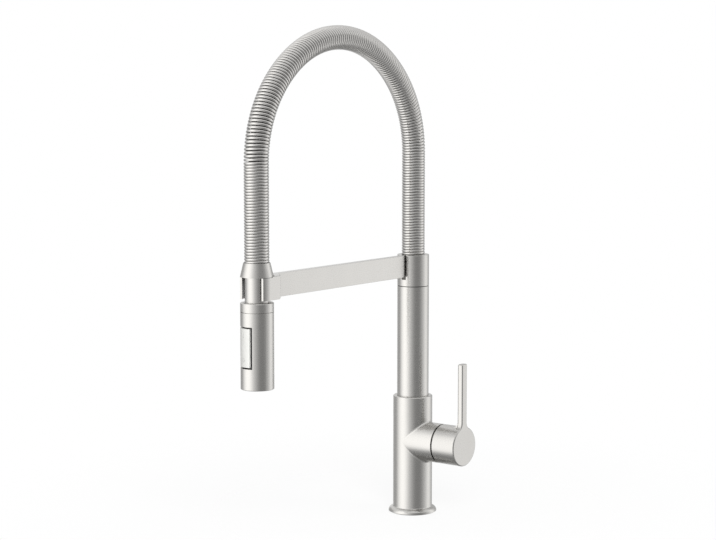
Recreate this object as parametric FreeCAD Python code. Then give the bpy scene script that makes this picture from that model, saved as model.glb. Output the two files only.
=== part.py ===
import FreeCAD, Part
import math
import os

# Spring kitchen faucet: a side-lever mixer on a round column, a swivelling sleeve with a flat arm,
# and a spray head that hangs from an arched spring hose and docks in a clip at the arm's end.
# Frame: origin at the centre of the base on the deck, +Z up, the arm reaches along -Y and the
# handle's axis lies along +X. All sizes are millimetres.

Vector = FreeCAD.Vector
UP = Vector(0, 0, 1)
ALONG_X = Vector(1, 0, 0)
ALONG_Y = Vector(0, 1, 0)

# Clearances
slip_fit = 0.1
running_fit = 0.05
body_gap = 0.3

# Mixer body and handle stub, sized round the cartridge
cartridge_radius = 17.5
stub_wall = 4.1
stub_rim_depth = 7.75
stub_rim_wall = 0.8
body_step = 0.1
handle_height = 82.0
body_above_handle = 51.0
body_edge_round = 1.2
saddle_round = 3.0

# Base ring, gasket and underside threads
flange_step = 5.0
flange_foot_inset = 1.8
flange_round = 5.0
flange_round_sweep = 80.0
flange_bevel_height = 1.1
flange_flare_height = 1.5
flange_flare_share = 0.35
spigot_radius = 18.0
gasket_margin = 1.5
foot_rim = 2.2
gasket_thickness = 2.0
stud_thread_radius = 3.4
stud_depth = 18.0
inlet_thread_radius = 4.5
inlet_thread_depth = 14.0
inlet_passage_radius = 3.4
inlet_spacing = 20.0

# Cartridge
cartridge_back = -4.0
cartridge_wall = 2.0
cartridge_end_wall = 3.0
seal_pocket_depth = 2.0
port_radius = 2.8
port_seal_wall = 1.4
port_circle_radius = 9.0
disc_thickness = 4.5
moving_disc_inset = 3.0
carrier_inset = 1.0
carrier_thickness = 9.0
carrier_end_gap = 6.0
neck_radius = 9.5
neck_clearance = 0.7
nut_length = 6.2

# Spindle, handle cap and lever
spindle_size = 7.0
spindle_tail = 12.0
spindle_tail_height = 4.9
spindle_engagement = 6.0
tail_end_gap = 2.0
pivot_pin_radius = 1.5
lever_tilt = 20.0
slot_room = 0.65
seam_gap = 1.0
pivot_from_cap_rear = 10.0
neck_end_gap = 5.0
cap_front_wall = 12.2
cap_wall = 4.4
cap_rear_round = 1.5
cap_lip_inset = 1.7
cap_lip_depth = 1.8
lever_width = 9.6
lever_thickness = 7.0
lever_reach = 92.5
lever_blend = 8.0
lever_edge_round = 1.5
lever_back_round = 2.3
lever_corner_round = 1.7
lever_root_round = 4.5
grub_radius = 2.0
grub_length = 9.0
plug_length = 3.0

# Column and swivel
column_radius = 17.7
column_wall = 2.0
column_socket_depth = 22.0
seam_height = 257.0
washer_thickness = 0.8
washer_recess = 0.8
riser_radius = 6.0
riser_wall = 1.0
riser_socket_depth = 7.0
water_bore_radius = 4.6
plug_depth = 20.0
bush_wall = 1.95
bush_roof = 2.4
o_ring_section = 2.2
o_ring_spacing = 9.0
eye_wall = 2.3
eye_height = 9.15
clamp_nut_height = 3.0

# Sleeve and arm
sleeve_skirt = 10.8
sleeve_lid = 2.4
sleeve_edge_round = 0.6
arm_height = 24.2
arm_thickness = 8.0
arm_edge_round = 0.4
arm_end_gap = 3.2
arm_end_round = 1.8
tongue_thickness = 4.0
arm_slot_gap = 0.8
arm_slot_drop = 3.2

# Dock clip at the arm's end
reach = 267.0
clip_radius = 17.5
clip_wall = 2.4
clip_top_drop = 0.9
clip_lip_round = 0.3
mouth_gap = 0.15
flank_length = 16.4
block_step = 1.0
block_length = 13.2
flank_edge_round = 1.6
tenon_cheek = 1.0
tenon_shoulder = 3.6
tenon_length = 7.0
dock_pin_radius = 1.5
dock_pin_spacing = 9.0
liner_thickness = 0.7
liner_margin = 1.2
dock_clearance = 1.9

# Arch, hose and spring
arch_straight = 113.5
arch_side_inset = 13.5
arch_crown_half_angle = 51.4
spring_radius = 12.9
spring_wire = 4.2
spring_curls = 98
spring_tail_bend = 8.0
hose_clearance = 0.9
hose_bore_radius = 4.6
nipple_wall = 1.0
nipple_length = 16.0

# Hose end: collar and connector
collar_rim_wall = 0.6
collar_flare = 3.4
collar_height = 14.4
collar_floor = 2.0
connector_spigot_radius = 9.0
connector_bore_radius = 6.5
check_valve_length = 14.0
check_valve_wall = 1.5
check_valve_roof = 4.2
swivel_clip_step = 2.5
swivel_clip_thickness = 2.0
swivel_groove_depth = 1.0

# Spray head
head_turn = -18.5
head_gap = 2.8
head_radius = 17.2
head_wall = 1.8
head_length = 89.0
head_seam_gap = 0.5
head_bottom_round = 0.9
cap_height = 9.6
cap_edge_round = 1.2
cap_roof = 7.0
cap_skirt = 9.4
face_recess = 1.0
face_thickness = 4.0
core_clearance = 0.5
nozzle_radius = 1.1
nozzle_tip_radius = 0.75
nozzle_stand = 0.7
nozzle_margin = 2.9
nozzle_row_gap = 3.2
outer_nozzle_count = 18
inner_nozzle_count = 12
aerator_margin = 1.9
aerator_length = 9.0
aerator_rim = 1.2
aerator_mouth_depth = 2.0

# Rocker button and diverter spool
button_below_top = 45.4
button_height = 39.5
button_half_angle = 31.5
button_side_gap = 3.0
button_end_gap = 1.7
button_thickness = 2.6
button_pocket_gap = 2.3
button_pivot_inset = 7.8
button_pin_radius = 1.2
button_pin_length = 15.0
lug_half_width = 3.5
lug_half_height = 3.2
lug_end_wall = 1.2
lug_side_gap = 0.4
finger_radius = 1.0
finger_tip_gap = 0.4
spool_offset = 2.0
spool_radius = 3.6
spool_length = 30.0
spool_end_gap = 1.0
spool_groove_radius = 2.0
spool_groove_gap = 0.35
water_way_offset = 7.0
water_way_radius = 3.6

# Cartridge, body and base, worked out from the sizes above
chamber_radius = cartridge_radius + body_gap
chamber_back = cartridge_back - seal_pocket_depth
cartridge_inner_radius = cartridge_radius - cartridge_wall
fixed_disc_back = cartridge_back + cartridge_end_wall
fixed_disc_front = fixed_disc_back + disc_thickness
moving_disc_back = fixed_disc_front + running_fit
carrier_back = moving_disc_back + disc_thickness
carrier_front = carrier_back + carrier_thickness
cartridge_front = carrier_front + carrier_end_gap + cartridge_end_wall
port_seal_radius = port_radius + port_seal_wall
stub_radius = cartridge_radius + body_gap + stub_wall
stub_length = cartridge_front + nut_length + stub_rim_depth
body_radius = stub_radius + body_step
body_top = handle_height + body_above_handle
flange_radius = body_radius + flange_step
flange_foot_radius = flange_radius - flange_foot_inset
rim_sweep = math.radians(flange_round_sweep)
flange_height = flange_bevel_height + flange_round * math.sin(rim_sweep) + flange_flare_height
gasket_inner_radius = spigot_radius + gasket_margin
gasket_outer_radius = flange_foot_radius - foot_rim

# Handle
cap_radius = stub_radius
cap_rear = stub_length + seam_gap
pivot_x = cap_rear + pivot_from_cap_rear
neck_end = pivot_x + 2 * pivot_pin_radius
cap_cavity_end = neck_end + neck_end_gap
cap_front = cap_cavity_end + cap_front_wall
grub_x = cap_cavity_end + spindle_engagement / 2

# Column, sleeve and arm
column_top = seam_height - washer_thickness / 2
column_foot = body_top - column_socket_depth
sleeve_bottom = seam_height + washer_thickness / 2
sleeve_top = seam_height + sleeve_skirt + arm_height
sleeve_bore_radius = column_radius - column_wall
arm_bottom = sleeve_top - arm_height
arm_middle = sleeve_top - arm_height / 2
slot_half_width = tongue_thickness / 2 + arm_slot_gap
slot_bottom = arm_bottom - arm_slot_drop
eye_radius = sleeve_bore_radius - body_gap
bush_shoulder_radius = eye_radius - eye_wall - slip_fit
spigot_bearing_radius = bush_shoulder_radius - bush_wall - running_fit
bush_flange_top = arm_bottom + slip_fit
eye_top = bush_flange_top + eye_height
bush_top = eye_top + clamp_nut_height
spigot_top = bush_top - bush_roof - running_fit
plug_bottom = column_top - plug_depth
riser_bottom = column_foot - riser_socket_depth
riser_top = plug_bottom + riser_socket_depth

# Dock, arch and hose
block_end = reach - clip_radius - block_length
block_thickness = arm_thickness + 2 * block_step
tenon_thickness = arm_thickness - 2 * tenon_cheek
tenon_height = arm_height - 2 * tenon_shoulder
clip_bore_radius = clip_radius - clip_wall
liner_bore_radius = clip_bore_radius - liner_thickness
clip_top = sleeve_top - body_gap - clip_top_drop
clip_bottom = arm_bottom
connector_radius = liner_bore_radius - dock_clearance
clip_mouth_offset = math.sqrt(clip_bore_radius ** 2 - (connector_radius + mouth_gap) ** 2)
liner_mouth_offset = math.sqrt(liner_bore_radius ** 2 - (connector_radius + mouth_gap) ** 2)
half_span = reach / 2
arch_spring_height = sleeve_top + arch_straight
arch_side_radius = half_span - arch_side_inset
crown_angle = math.radians(arch_crown_half_angle)
crown_drop = arch_side_inset / math.tan(crown_angle)
crown_radius = arch_side_radius + arch_side_inset / math.sin(crown_angle)
side_arc = arch_side_radius * (math.pi / 2 - crown_angle)
crown_arc = 2 * crown_radius * crown_angle
arch_length = 2 * side_arc + crown_arc
hose_radius = spring_radius - spring_wire - hose_clearance
hose_tail_radius = hose_bore_radius - slip_fit
spring_hole_radius = spring_radius + body_gap
collar_bottom = clip_top + body_gap
collar_top = collar_bottom + collar_height
collar_floor_top = collar_bottom + collar_floor
collar_top_radius = spring_hole_radius + collar_rim_wall
collar_bottom_radius = collar_top_radius + collar_flare

# Spray head
head_top = clip_bottom - head_gap
head_bottom = head_top - head_length
head_seam = head_top - cap_height
core_radius = head_radius - head_wall - slip_fit
face_bottom = head_bottom + face_recess
face_top = face_bottom + face_thickness
cap_bottom = head_seam + head_seam_gap / 2
shell_top = head_seam - head_seam_gap / 2
skirt_bottom = cap_bottom - cap_skirt
core_top = skirt_bottom - core_clearance
connector_foot = skirt_bottom
neck_foot = head_top + slip_fit
swivel_clip_radius = connector_spigot_radius + swivel_clip_step
swivel_clip_top = head_top - cap_roof - body_gap
swivel_clip_bottom = swivel_clip_top - swivel_clip_thickness
outer_nozzle_circle = core_radius - nozzle_margin
inner_nozzle_circle = outer_nozzle_circle - nozzle_row_gap
aerator_radius = inner_nozzle_circle - nozzle_radius - aerator_margin
button_middle = head_top - button_below_top
button_bottom = button_middle - button_height / 2
button_top = button_middle + button_height / 2
button_pocket_radius = head_radius - button_thickness - button_pocket_gap
button_pivot_depth = head_radius - button_pivot_inset
lug_end = button_pivot_depth - button_pin_radius - lug_end_wall
window_half_angle = button_half_angle + math.degrees(button_side_gap / head_radius)
window_bottom = button_bottom - button_end_gap
window_top = button_top + button_end_gap
finger_end = spool_offset + spool_groove_radius + finger_tip_gap
spool_bottom = button_middle - spool_length / 2


def rod(radius, z0, z1, x=0.0, y=0.0):
    """An upright cylinder between two heights."""
    return Part.makeCylinder(radius, z1 - z0, Vector(x, y, z0), UP)


def ring(outer, inner, z0, z1, x=0.0, y=0.0):
    """An upright tube between two heights."""
    return rod(outer, z0, z1, x, y).cut(rod(inner, z0 - 1, z1 + 1, x, y))


def rod_x(radius, x0, x1, y=0.0, z=handle_height):
    """A cylinder along X, by default on the handle's axis."""
    return Part.makeCylinder(radius, x1 - x0, Vector(x0, y, z), ALONG_X)


def ring_x(outer, inner, x0, x1):
    """A tube on the handle's axis."""
    return rod_x(outer, x0, x1).cut(rod_x(inner, x0 - 1, x1 + 1))


def block(x0, x1, y0, y1, z0, z1):
    """A box between two corners."""
    return Part.makeBox(x1 - x0, y1 - y0, z1 - z0, Vector(x0, y0, z0))


def turned(outline):
    """A solid of revolution about Z from a closed list of edges in the XZ plane."""
    return Part.Face(Part.Wire(outline)).revolve(Vector(0, 0, 0), UP, 360)


def line(a, b):
    return Part.LineSegment(a, b).toShape()


def arc(a, through, b):
    return Part.Arc(a, through, b).toShape()


def circles_at(shape, height, radius):
    """The round edges of one radius at one height."""
    found = []
    for edge in shape.Edges:
        curve = edge.Curve
        is_circle = isinstance(curve, Part.Circle)
        if is_circle and abs(curve.Radius - radius) < 1e-3 and abs(curve.Center.z - height) < 1e-3:
            found.append(edge)
    return found


def circles_at_x(shape, x, radius):
    """The round edges of one radius at one place along the handle's axis."""
    found = []
    for edge in shape.Edges:
        curve = edge.Curve
        is_circle = isinstance(curve, Part.Circle)
        if is_circle and abs(curve.Radius - radius) < 1e-3 and abs(curve.Center.x - x) < 1e-3:
            found.append(edge)
    return found


def edges_at_x(shape, x):
    """The edges that lie in the plane at x."""
    found = []
    for edge in shape.Edges:
        box = edge.BoundBox
        if box.XLength < 1e-3 and abs(box.XMin - x) < 1e-3:
            found.append(edge)
    return found


def o_ring(height, bearing_radius):
    """A rubber ring that just reaches a bearing surface from its groove."""
    section = o_ring_section / 2
    return Part.makeTorus(bearing_radius - section, section, Vector(0, 0, height), UP)


def o_ring_groove(height, bearing_radius):
    """The groove for such a ring."""
    half = o_ring_section / 2 + slip_fit
    bottom = bearing_radius - o_ring_section - slip_fit
    return ring(bearing_radius + 1, bottom, height - half, height + half)


# Base

def make_base_ring():
    """The turned ring that stands on the deck: bevelled foot, rounded rim and a flare to the body."""
    bore = spigot_radius + slip_fit
    rim_centre = Vector(flange_radius - flange_round, 0, flange_bevel_height)

    def on_rim(angle):
        return rim_centre + Vector(math.cos(angle), 0, math.sin(angle)) * flange_round

    foot_in = Vector(bore, 0, 0)
    foot = Vector(flange_foot_radius, 0, 0)
    rim = on_rim(0)
    rim_top = on_rim(rim_sweep)
    neck = Vector(body_radius, 0, flange_height)
    flare_x = neck.x + (rim_top.x - neck.x) * flange_flare_share
    flare_z = rim_top.z + (neck.z - rim_top.z) * flange_flare_share
    inner_top = Vector(bore, 0, flange_height)
    outline = [line(foot_in, foot), line(foot, rim), arc(rim, on_rim(rim_sweep / 2), rim_top),
               arc(rim_top, Vector(flare_x, 0, flare_z), neck), line(neck, inner_top),
               line(inner_top, foot_in)]
    groove = ring(gasket_outer_radius + slip_fit, gasket_inner_radius - slip_fit, -1, gasket_thickness)
    return turned(outline).cut(groove)


def make_base_gasket():
    """The flat rubber ring in the foot's groove, flush with the deck."""
    return ring(gasket_outer_radius, gasket_inner_radius, 0, gasket_thickness)


def make_mixer_body():
    """The upright body with its side stub, cartridge chamber, column socket and underside threads."""
    barrel = rod(body_radius, flange_height, body_top)
    stub = rod_x(stub_radius, 0, stub_length)
    shell = barrel.fuse(stub).removeSplitter()
    saddle = [edge for edge in shell.Edges if not isinstance(edge.Curve, (Part.Circle, Part.Line))]
    shell = shell.makeFillet(saddle_round, saddle)
    shell = shell.makeFillet(body_edge_round, circles_at(shell, body_top, body_radius))
    shell = shell.fuse(rod(spigot_radius, 0, flange_height))
    chamber = rod_x(chamber_radius, chamber_back, stub_length + 1)
    rim_cone = Part.makeCone(chamber_radius, stub_radius - stub_rim_wall, stub_rim_depth,
                             Vector(stub_length - stub_rim_depth, 0, handle_height), ALONG_X)
    socket = rod(column_radius + slip_fit, column_foot, body_top + 1)
    riser_hole = rod(riser_radius + slip_fit, riser_bottom, column_foot + 1)
    outlet = rod(water_bore_radius, handle_height, column_foot)
    stud = rod(stud_thread_radius, -1, stud_depth)
    cuts = [chamber, rim_cone, socket, riser_hole, outlet, stud]
    for side in (-1, 1):
        y = side * inlet_spacing / 2
        cuts.append(rod(inlet_thread_radius, -1, inlet_thread_depth, y=y))
        cuts.append(rod(inlet_passage_radius, 0, handle_height, y=y))
    return shell.cut(cuts)


# Cartridge and handle

def port_places():
    """The three water ports of the cartridge, on a circle about the handle's axis."""
    places = []
    for angle in (90, 210, 330):
        y = port_circle_radius * math.cos(math.radians(angle))
        z = handle_height + port_circle_radius * math.sin(math.radians(angle))
        places.append((y, z))
    return places


def make_cartridge_housing():
    """The plastic cup of the cartridge, with port holes behind and a bearing for the neck in front."""
    front_wall = cartridge_front - cartridge_end_wall
    cup = rod_x(cartridge_radius, cartridge_back, cartridge_front)
    cup = cup.cut(rod_x(cartridge_inner_radius, fixed_disc_back, front_wall))
    cup = cup.cut(rod_x(neck_radius + running_fit, front_wall - 1, cartridge_front + 1))
    for y, z in port_places():
        cup = cup.cut(rod_x(port_seal_radius + slip_fit, cartridge_back - 1, fixed_disc_back + 1, y, z))
    return cup


def make_port_seals():
    """Three rubber sleeves between the chamber's floor and the fixed disc."""
    seals = []
    for y, z in port_places():
        sleeve = rod_x(port_seal_radius, chamber_back, fixed_disc_back, y, z)
        seals.append(sleeve.cut(rod_x(port_radius, chamber_back - 1, cartridge_front, y, z)))
    return Part.makeCompound(seals)


def make_fixed_disc():
    """The ceramic disc with three ports that stays in the housing."""
    disc = rod_x(cartridge_inner_radius - body_gap, fixed_disc_back, fixed_disc_front)
    for y, z in port_places():
        disc = disc.cut(rod_x(port_radius, cartridge_back, cartridge_front, y, z))
    return disc


def make_moving_disc():
    """The ceramic disc with a blind mixing pocket that turns on the fixed one."""
    pocket = rod_x(port_circle_radius, moving_disc_back - 1, moving_disc_back + disc_thickness / 2)
    return rod_x(cartridge_inner_radius - moving_disc_inset, moving_disc_back, carrier_back).cut(pocket)


def make_temperature_carrier():
    """The carrier behind the handle: a disc in the cartridge and a slotted neck for the spindle."""
    carrier = rod_x(cartridge_inner_radius - carrier_inset, carrier_back, carrier_front)
    carrier = carrier.fuse(rod_x(neck_radius, carrier_front, neck_end)).removeSplitter()
    half_width = spindle_size / 2 + running_fit
    tail_swing = spindle_tail * math.sin(math.radians(lever_tilt))
    half_height = tail_swing + spindle_tail_height / 2 + slot_room
    slot = block(pivot_x - spindle_tail - tail_end_gap, neck_end + 1, -half_width, half_width,
                 handle_height - half_height, handle_height + half_height)
    pin_hole = Part.makeCylinder(pivot_pin_radius, 2 * neck_radius + 2,
                                 Vector(pivot_x, -neck_radius - 1, handle_height), ALONG_Y)
    return carrier.cut([slot, pin_hole])


def make_pivot_pin():
    """The steel pin across the neck that the spindle tilts on."""
    half = math.sqrt(neck_radius ** 2 - pivot_pin_radius ** 2)
    return Part.makeCylinder(pivot_pin_radius, 2 * half, Vector(pivot_x, -half, handle_height), ALONG_Y)


def make_cartridge_nut():
    """The threaded ring that holds the cartridge down."""
    return ring_x(chamber_radius - slip_fit, neck_radius + neck_clearance,
                  cartridge_front, cartridge_front + nut_length)


def make_spindle():
    """The square bar between cartridge and handle."""
    half = spindle_size / 2
    tail_half = spindle_tail_height / 2
    front = cap_cavity_end + spindle_engagement
    bar = block(pivot_x - spindle_size, front, -half, half, handle_height - half, handle_height + half)
    tail = block(pivot_x - spindle_tail, pivot_x - spindle_size, -half, half,
                 handle_height - tail_half, handle_height + tail_half)
    hole = Part.makeCylinder(pivot_pin_radius + running_fit, 2 * spindle_size,
                             Vector(pivot_x, -spindle_size, handle_height), ALONG_Y)
    return bar.fuse(tail).removeSplitter().cut(hole)


def make_handle_cap():
    """The round cap with its flush disc face and the upright lever that blends into it."""
    cap = rod_x(cap_radius, cap_rear, cap_front)
    cap = cap.makeFillet(cap_rear_round, circles_at_x(cap, cap_rear, cap_radius))
    lip = rod_x(cap_radius - cap_lip_inset, cap_rear - cap_lip_depth, cap_cavity_end)
    cap = cap.fuse([lip, lever_plate(), lever_root()]).removeSplitter()
    cap = cap.makeFillet(lever_edge_round, edges_at_x(cap, cap_front))
    cavity = rod_x(cap_radius - cap_wall, cap_rear - cap_lip_depth - 1, cap_cavity_end)
    half = spindle_size / 2 + slip_fit
    socket = block(cap_cavity_end - 1, cap_cavity_end + spindle_engagement + slip_fit, -half, half,
                   handle_height - half, handle_height + half)
    screw_hole = rod(grub_radius + slip_fit, handle_height - cap_radius - 1, handle_height, x=grub_x)
    return cap.cut([cavity, socket, screw_hole])


def lever_plate():
    """The lever as a flat bar whose front is flush with the disc, with round blends at its root."""
    half = lever_width / 2
    blend_y = half + lever_blend
    blend_z = math.sqrt((cap_radius + lever_blend) ** 2 - blend_y ** 2)
    share = cap_radius / (cap_radius + lever_blend)
    x = cap_front - lever_thickness

    def place(y, z):
        return Vector(x, y, handle_height + z)

    def blend_middle(side):
        to_lever = Vector(0, side * (half - blend_y), 0)
        to_cap = Vector(0, side * blend_y * (share - 1), blend_z * (share - 1))
        return place(side * blend_y, blend_z) + (to_lever + to_cap).normalize() * lever_blend

    edges = []
    foot = {}
    shoulder = {}
    for side in (-1, 1):
        foot[side] = place(side * blend_y * share, blend_z * share)
        shoulder[side] = place(side * half, blend_z)
        edges.append(arc(foot[side], blend_middle(side), shoulder[side]))
        edges.append(line(shoulder[side], place(side * half, lever_reach)))
    edges.append(line(place(-half, lever_reach), place(half, lever_reach)))
    edges.append(line(foot[-1], place(0, 0)))
    edges.append(line(place(0, 0), foot[1]))
    outline = Part.Wire(Part.__sortEdges__(edges))
    plate = Part.Face(outline).extrude(Vector(lever_thickness, 0, 0))
    top_edges = [edge for edge in plate.Edges if edge.BoundBox.ZMin > handle_height + lever_reach - 1e-3]
    corners = [edge for edge in top_edges if edge.BoundBox.YLength < 1e-3]
    plate = plate.makeFillet(lever_corner_round, corners)
    back = [edge for edge in edges_at_x(plate, x) if edge.BoundBox.ZMin > shoulder[1].z - 1e-3]
    return plate.makeFillet(lever_back_round, back)


def lever_root():
    """The round that carries the lever's back down onto the cap."""
    back = cap_front - lever_thickness
    top = handle_height + cap_radius
    turn = lever_root_round * math.sqrt(0.5)
    corner = Vector(back - lever_root_round, 0, top)
    middle = Vector(back - lever_root_round + turn, 0, top + lever_root_round - turn)
    tip = Vector(back, 0, top + lever_root_round)
    inner_tip = Vector(back + lever_edge_round, 0, top + lever_root_round)
    inner_foot = Vector(back + lever_edge_round, 0, top - lever_root_round)
    inner_corner = Vector(back - lever_root_round, 0, top - lever_root_round)
    outline = Part.Wire([arc(corner, middle, tip), line(tip, inner_tip), line(inner_tip, inner_foot),
                         line(inner_foot, inner_corner), line(inner_corner, corner)])
    flare = Part.Face(outline).revolve(Vector(0, 0, handle_height), ALONG_X, 360)
    half = lever_width / 2
    return flare.common(block(cap_rear, cap_front, -half, half, handle_height, top + lever_root_round))


def make_grub_screw():
    """The set screw that clamps the cap to the spindle from below."""
    top = handle_height - spindle_size / 2
    return rod(grub_radius, top - grub_length, top, x=grub_x)


def make_grub_plug():
    """The small plug that closes the set screw's hole."""
    bottom = handle_height - cap_radius + slip_fit
    return rod(grub_radius, bottom, bottom + plug_length, x=grub_x)


# Column and swivel

def make_column():
    """The fixed column tube between the body and the swivel seam."""
    return ring(column_radius, column_radius - column_wall, column_foot, column_top)


def make_riser_tube():
    """The copper water tube inside the column."""
    return ring(riser_radius, riser_radius - riser_wall, riser_bottom, riser_top)


def o_ring_heights():
    middle = (column_top + spigot_top) / 2
    return (middle - o_ring_spacing / 2, middle + o_ring_spacing / 2)


def make_swivel_spigot():
    """The brass plug in the column's top with the bearing that the sleeve turns on."""
    plug = rod(sleeve_bore_radius - slip_fit, plug_bottom, column_top)
    bearing = rod(spigot_bearing_radius, column_top, spigot_top)
    spigot = plug.fuse(bearing)
    cuts = [rod(water_bore_radius, plug_bottom - 1, spigot_top + 1),
            rod(riser_radius + slip_fit, plug_bottom - 1, riser_top)]
    for height in o_ring_heights():
        cuts.append(o_ring_groove(height, spigot_bearing_radius))
    return spigot.cut(cuts)


def make_swivel_o_rings():
    """Two rubber rings that seal the swivel."""
    return Part.makeCompound([o_ring(height, spigot_bearing_radius) for height in o_ring_heights()])


def make_glide_washer():
    """The dark plastic washer in the swivel seam, set back from the outside."""
    outer = column_radius - washer_recess
    return ring(outer, spigot_bearing_radius + slip_fit, column_top, sleeve_bottom)


def make_swivel_bush():
    """The brass bush that turns on the spigot and carries the sleeve, the arm and the hose."""
    bush = rod(sleeve_bore_radius - slip_fit, sleeve_bottom, bush_flange_top)
    bush = bush.fuse(rod(bush_shoulder_radius, bush_flange_top, bush_top))
    bearing = rod(spigot_bearing_radius + running_fit, sleeve_bottom - 1, spigot_top + running_fit)
    outlet = rod(hose_tail_radius, sleeve_bottom, bush_top + 1)
    notch = block(-slot_half_width, slot_half_width, -sleeve_bore_radius, -bush_shoulder_radius,
                  slot_bottom, bush_flange_top + 1)
    return bush.cut([bearing, outlet, notch])


def make_clamp_nut():
    """The thin nut that clamps the arm's eye onto the bush."""
    return ring(eye_radius, bush_shoulder_radius, eye_top, bush_top)


def make_sleeve():
    """The outer sleeve above the seam, with a hole for the spring and a slot for the arm's tongue."""
    shell = rod(column_radius, sleeve_bottom, sleeve_top)
    shell = shell.makeFillet(sleeve_edge_round, circles_at(shell, sleeve_top, column_radius))
    bore = rod(sleeve_bore_radius, sleeve_bottom - 1, sleeve_top - sleeve_lid)
    hole = rod(spring_hole_radius, sleeve_bottom, sleeve_top + 1)
    slot = block(-slot_half_width, slot_half_width, -column_radius - 1, -sleeve_bore_radius,
                 slot_bottom, sleeve_top + 1)
    slot_inside = block(-slot_half_width, slot_half_width, -sleeve_bore_radius - 1, 0,
                        slot_bottom, sleeve_top - sleeve_lid)
    return shell.cut([bore, hole, slot, slot_inside])


def make_arm():
    """The flat arm: a bar, a thin tongue through the sleeve's slot with an eye inside, and a tenon outside."""
    half = arm_thickness / 2
    thin = tongue_thickness / 2
    inner_end = sleeve_bore_radius + body_gap
    bar_end = column_radius + arm_end_gap
    side = [(half, block_end), (half, bar_end), (thin, bar_end), (thin, inner_end)]
    outline = [Vector(-x, -y, arm_bottom) for x, y in side]
    outline += [Vector(x, -y, arm_bottom) for x, y in reversed(side)]
    bar = Part.Face(Part.makePolygon(outline + outline[:1])).extrude(UP * arm_height)
    side_edges = [edge for edge in bar.Edges if abs(abs(edge.CenterOfMass.x) - half) < 1e-3]
    end_edges = [edge for edge in side_edges if edge.BoundBox.YMin > -bar_end - 1e-3]
    bar = bar.makeFillet(arm_end_round, end_edges)
    long_edges = []
    for edge in bar.Edges:
        on_side = abs(abs(edge.CenterOfMass.x) - half) < 1e-3
        runs_along = edge.BoundBox.ZLength < 1e-3
        if on_side and runs_along:
            long_edges.append(edge)
    bar = bar.makeFillet(arm_edge_round, long_edges)
    tongue = block(-thin, thin, -inner_end - 1, -bush_shoulder_radius, bush_flange_top, eye_top)
    eye = rod(eye_radius, bush_flange_top, eye_top)
    tenon_half = tenon_thickness / 2
    tenon = block(-tenon_half, tenon_half, -block_end - tenon_length, -block_end + 1,
                  arm_middle - tenon_height / 2, arm_middle + tenon_height / 2)
    arm = bar.fuse([tongue, eye, tenon]).removeSplitter()
    arm = arm.cut(rod(bush_shoulder_radius + slip_fit, bush_flange_top - 1, sleeve_top))
    return arm.cut(dock_pin_rods(arm_thickness))


# Dock clip

def dock_pin_rods(half):
    """Two cross rods through the clip's block and the arm's tenon."""
    y = -block_end - tenon_length / 2
    rods = []
    for side in (-1, 1):
        z = arm_middle + side * dock_pin_spacing / 2
        rods.append(rod_x(dock_pin_radius, -half, half, y, z))
    return rods


def make_dock_pins():
    """Two cross pins that hold the tenon, sunk in the clip's narrowing back."""
    return Part.makeCompound(dock_pin_rods(block_thickness / 2))


def make_dock_clip():
    """The open clip that holds the hose end: flat flanks, and a back that narrows to the arm's tenon."""
    half = block_thickness / 2
    end = -block_end
    flank_end = flank_length - reach

    def place(x, y):
        return Vector(x, y, clip_bottom)

    front = arc(place(-clip_radius, -reach), place(0, -reach - clip_radius), place(clip_radius, -reach))
    corners = [place(clip_radius, -reach), place(clip_radius, flank_end), place(half, end), place(-half, end),
               place(-clip_radius, flank_end), place(-clip_radius, -reach)]
    straight = [line(a, b) for a, b in zip(corners, corners[1:])]
    clip = Part.Face(Part.Wire([front] + straight)).extrude(UP * (sleeve_top - clip_bottom))
    level = [edge for edge in clip.Edges if edge.BoundBox.ZLength < 1e-3 and edge.BoundBox.YLength > 1e-3]
    sides = [edge for edge in level if edge.BoundBox.YMin > -reach - 1e-3]
    top = [edge for edge in sides if edge.BoundBox.ZMin > clip_top]
    under_back = [edge for edge in sides if edge.BoundBox.XLength > 1e-3 and edge.BoundBox.ZMax < clip_top]
    upright = [edge for edge in clip.Edges if abs(edge.CenterOfMass.y - flank_end) < 1e-3]
    clip = clip.makeFillet(flank_edge_round, top + under_back + upright)
    seat = rod(clip_radius + body_gap, clip_top, sleeve_top + 1, y=-reach)
    bore = rod(clip_bore_radius, clip_bottom - 1, clip_top + 1, y=-reach)
    mouth = block(-clip_radius - 1, clip_radius + 1, -reach - clip_radius - 1, -reach - clip_mouth_offset,
                  clip_bottom - 1, clip_top + 1)
    mortise_half = tenon_thickness / 2 + slip_fit
    mortise_rise = tenon_height / 2 + slip_fit
    mortise = block(-mortise_half, mortise_half, -block_end - tenon_length - slip_fit, -block_end + 1,
                    arm_middle - mortise_rise, arm_middle + mortise_rise)
    clip = clip.cut([seat, bore, mouth, mortise] + dock_pin_rods(clip_radius))
    lips = [edge for edge in clip.Edges if edge.BoundBox.YMax < -reach - clip_mouth_offset + 1e-3]
    lip_corners = [edge for edge in lips if edge.BoundBox.XLength < 1e-3]
    return clip.makeFillet(clip_lip_round, lip_corners)


def make_dock_liner():
    """The thin plastic lining in the clip, as far forward as the neck leaves room for it."""
    lining = ring(clip_bore_radius, liner_bore_radius,
                  clip_bottom + liner_margin, clip_top - liner_margin, y=-reach)
    front = block(-clip_radius, clip_radius, -reach - clip_radius, -reach - liner_mouth_offset,
                  clip_bottom, clip_top)
    return lining.cut(front)


# Arch: one centre line for the hose and the spring

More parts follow.
